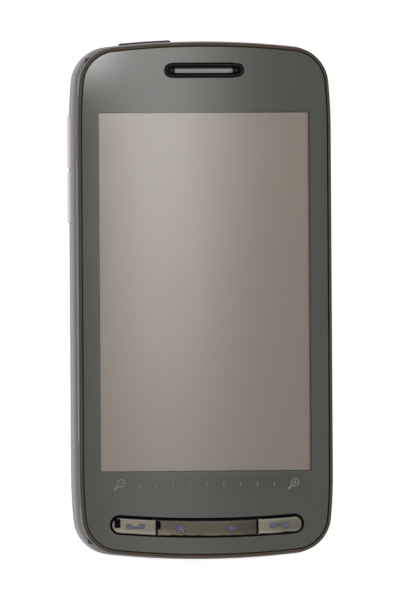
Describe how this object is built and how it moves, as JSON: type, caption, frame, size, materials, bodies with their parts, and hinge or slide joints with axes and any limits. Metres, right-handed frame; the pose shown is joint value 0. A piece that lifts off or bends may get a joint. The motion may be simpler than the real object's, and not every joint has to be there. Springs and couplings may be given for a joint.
{
  "type": "slider phone with tilting display",
  "caption": "Pocket phone whose display half slides sideways off a keyboard half and tilts up on a hinge.",
  "frame": {"origin": "centre of the flat back, with the phone lying on it", "axes": "+Z from the back to the display, +Y to the phone's top end, +X to the side the display half slides to"},
  "size_m": [0.0589, 0.1171, 0.0172],
  "materials": {
    "panel_glass": "printed touch panel glass, dark border, soft gloss",
    "trim_metal": "brown metallic lacquer with fine grain",
    "display_panel": "unlit display face",
    "chassis_metal": "die-cast magnesium, satin",
    "display_back": "silver-grey satin lacquer",
    "screw_steel": "blackened steel",
    "earpiece_gloss": "black gloss",
    "grille_metal": "woven steel mesh",
    "capsule_plastic": "black plastic",
    "board_laminate": "green laminate",
    "hinge_steel": "pressed stainless steel",
    "front_key_metal": "metallised plastic, polished",
    "shoe_plastic": "natural acetal",
    "base_plastic": "silver-grey satin lacquer",
    "cover_plastic": "silver-grey satin lacquer",
    "deck_plastic": "dark satin plastic",
    "key_cap_plastic": "dark soft-gloss key caps",
    "mat_rubber": "translucent silicone",
    "shield_metal": "tinned sheet",
    "battery_skin": "foil-wrapped cell",
    "contact_plastic": "gilt spring contacts in a block",
    "camera_ring_metal": "turned and anodised",
    "lens_glass": "coated cover lens",
    "speaker_plate": "dark lacquer",
    "side_key_metal": "pale satin metallised",
    "connector_metal": "plated shell",
    "insert_brass": "turned brass",
    "stylus_plastic": "black plastic"
  },
  "bodies": {
    "base": {"base_housing": "base_plastic", "battery_cover": "cover_plastic", "keyboard_deck": "deck_plastic", "keypad_mat": "mat_rubber", "keypad_board": "board_laminate", "main_board": "board_laminate", "radio_shield": "shield_metal", "processor_shield": "shield_metal", "sim_holder": "shield_metal", "card_slot": "shield_metal", "battery": "battery_skin", "battery_contacts": "contact_plastic", "vibration_motor": "shield_metal", "camera_module": "capsule_plastic", "camera_ring": "camera_ring_metal", "camera_lens": "lens_glass", "loudspeaker": "capsule_plastic", "speaker_grille": "speaker_plate", "mute_switch": "board_laminate", "side_key_board": "board_laminate", "power_switch": "capsule_plastic", "usb_connector": "connector_metal", "microphone": "shield_metal", "antenna_carrier": "capsule_plastic", "base_screws": "screw_steel", "stylus_silo": "capsule_plastic", "guide_rails": "hinge_steel", "screw_inserts": "insert_brass"},
    "carriage": {"slide_carriage": "hinge_steel", "slide_shoes": "shoe_plastic"},
    "display": {"front_glass": "panel_glass", "front_trim_ring": "trim_metal", "lcd_module": "display_panel", "display_chassis": "chassis_metal", "display_back_cover": "display_back", "display_cover_screws": "screw_steel", "earpiece_bezel": "earpiece_gloss", "earpiece_grille": "grille_metal", "earpiece_capsule": "capsule_plastic", "key_switch_board": "board_laminate", "hinge_leaf_top": "hinge_steel", "hinge_leaf_bottom": "hinge_steel", "hinge_pins": "hinge_steel", "hinge_screws": "screw_steel"},
    "send": {"send_key": "front_key_metal"},
    "end": {"end_key": "front_key_metal"},
    "home_back": {"home_back_key": "front_key_metal"},
    "row_1": {"key_row_1": "key_cap_plastic"},
    "row_2": {"key_row_2": "key_cap_plastic"},
    "row_3": {"key_row_3": "key_cap_plastic"},
    "row_4": {"key_row_4": "key_cap_plastic"},
    "row_5": {"key_row_5": "key_cap_plastic"},
    "space": {"space_bar": "key_cap_plastic"},
    "volume_up": {"volume_up_key": "side_key_metal"},
    "volume_down": {"volume_down_key": "side_key_metal"},
    "power": {"power_key": "side_key_metal"},
    "mute": {"mute_button": "side_key_metal"},
    "stylus": {"stylus_barrel": "stylus_plastic", "stylus_tip": "stylus_plastic", "stylus_cap": "base_plastic"}
  },
  "joints": [
    {"name": "display_slide", "type": "slide", "parent": "base", "child": "carriage", "axis": [1, 0, 0], "range_m": [0, 0.0365]},
    {"name": "display_tilt", "type": "hinge", "parent": "carriage", "child": "display", "pos_m": [-0.0261, 0, 0.0124], "axis": [0, -1, 0], "range_deg": [0, 45]},
    {"name": "send_key_press", "type": "slide", "parent": "display", "child": "send", "axis": [0, 0, -1], "range_m": [0, 0.00025], "stiffness_N_per_m": 250, "springref_m": -0.0005},
    {"name": "end_key_press", "type": "slide", "parent": "display", "child": "end", "axis": [0, 0, -1], "range_m": [0, 0.00025], "stiffness_N_per_m": 250, "springref_m": -0.0005},
    {"name": "home_back_rock", "type": "hinge", "parent": "display", "child": "home_back", "pos_m": [0, -0.05125, 0.01525], "axis": [0, 1, 0], "range_deg": [-1.2, 1.2], "stiffness_Nm_per_rad": 0.05},
    {"name": "key_row_1_press", "type": "slide", "parent": "base", "child": "row_1", "axis": [0, 0, -1], "range_m": [0, 0.00025], "stiffness_N_per_m": 250, "springref_m": -0.0005},
    {"name": "key_row_2_press", "type": "slide", "parent": "base", "child": "row_2", "axis": [0, 0, -1], "range_m": [0, 0.00025], "stiffness_N_per_m": 250, "springref_m": -0.0005},
    {"name": "key_row_3_press", "type": "slide", "parent": "base", "child": "row_3", "axis": [0, 0, -1], "range_m": [0, 0.00025], "stiffness_N_per_m": 250, "springref_m": -0.0005},
    {"name": "key_row_4_press", "type": "slide", "parent": "base", "child": "row_4", "axis": [0, 0, -1], "range_m": [0, 0.00025], "stiffness_N_per_m": 250, "springref_m": -0.0005},
    {"name": "key_row_5_press", "type": "slide", "parent": "base", "child": "row_5", "axis": [0, 0, -1], "range_m": [0, 0.00025], "stiffness_N_per_m": 250, "springref_m": -0.0005},
    {"name": "space_bar_press", "type": "slide", "parent": "base", "child": "space", "axis": [0, 0, -1], "range_m": [0, 0.00025], "stiffness_N_per_m": 250, "springref_m": -0.0005},
    {"name": "volume_up_press", "type": "slide", "parent": "base", "child": "volume_up", "axis": [1, 0, 0], "range_m": [0, 0.00025], "stiffness_N_per_m": 250, "springref_m": -0.0005},
    {"name": "volume_down_press", "type": "slide", "parent": "base", "child": "volume_down", "axis": [1, 0, 0], "range_m": [0, 0.00025], "stiffness_N_per_m": 250, "springref_m": -0.0005},
    {"name": "power_key_press", "type": "slide", "parent": "base", "child": "power", "axis": [0, -1, 0], "range_m": [0, 0.00025], "stiffness_N_per_m": 250, "springref_m": -0.0005},
    {"name": "mute_button_press", "type": "slide", "parent": "base", "child": "mute", "axis": [0, 0, 1], "range_m": [0, 0.00025], "stiffness_N_per_m": 250, "springref_m": -0.0005},
    {"name": "stylus_draw", "type": "slide", "parent": "base", "child": "stylus", "axis": [0, -1, 0], "range_m": [0, 0.1]}
  ]
}
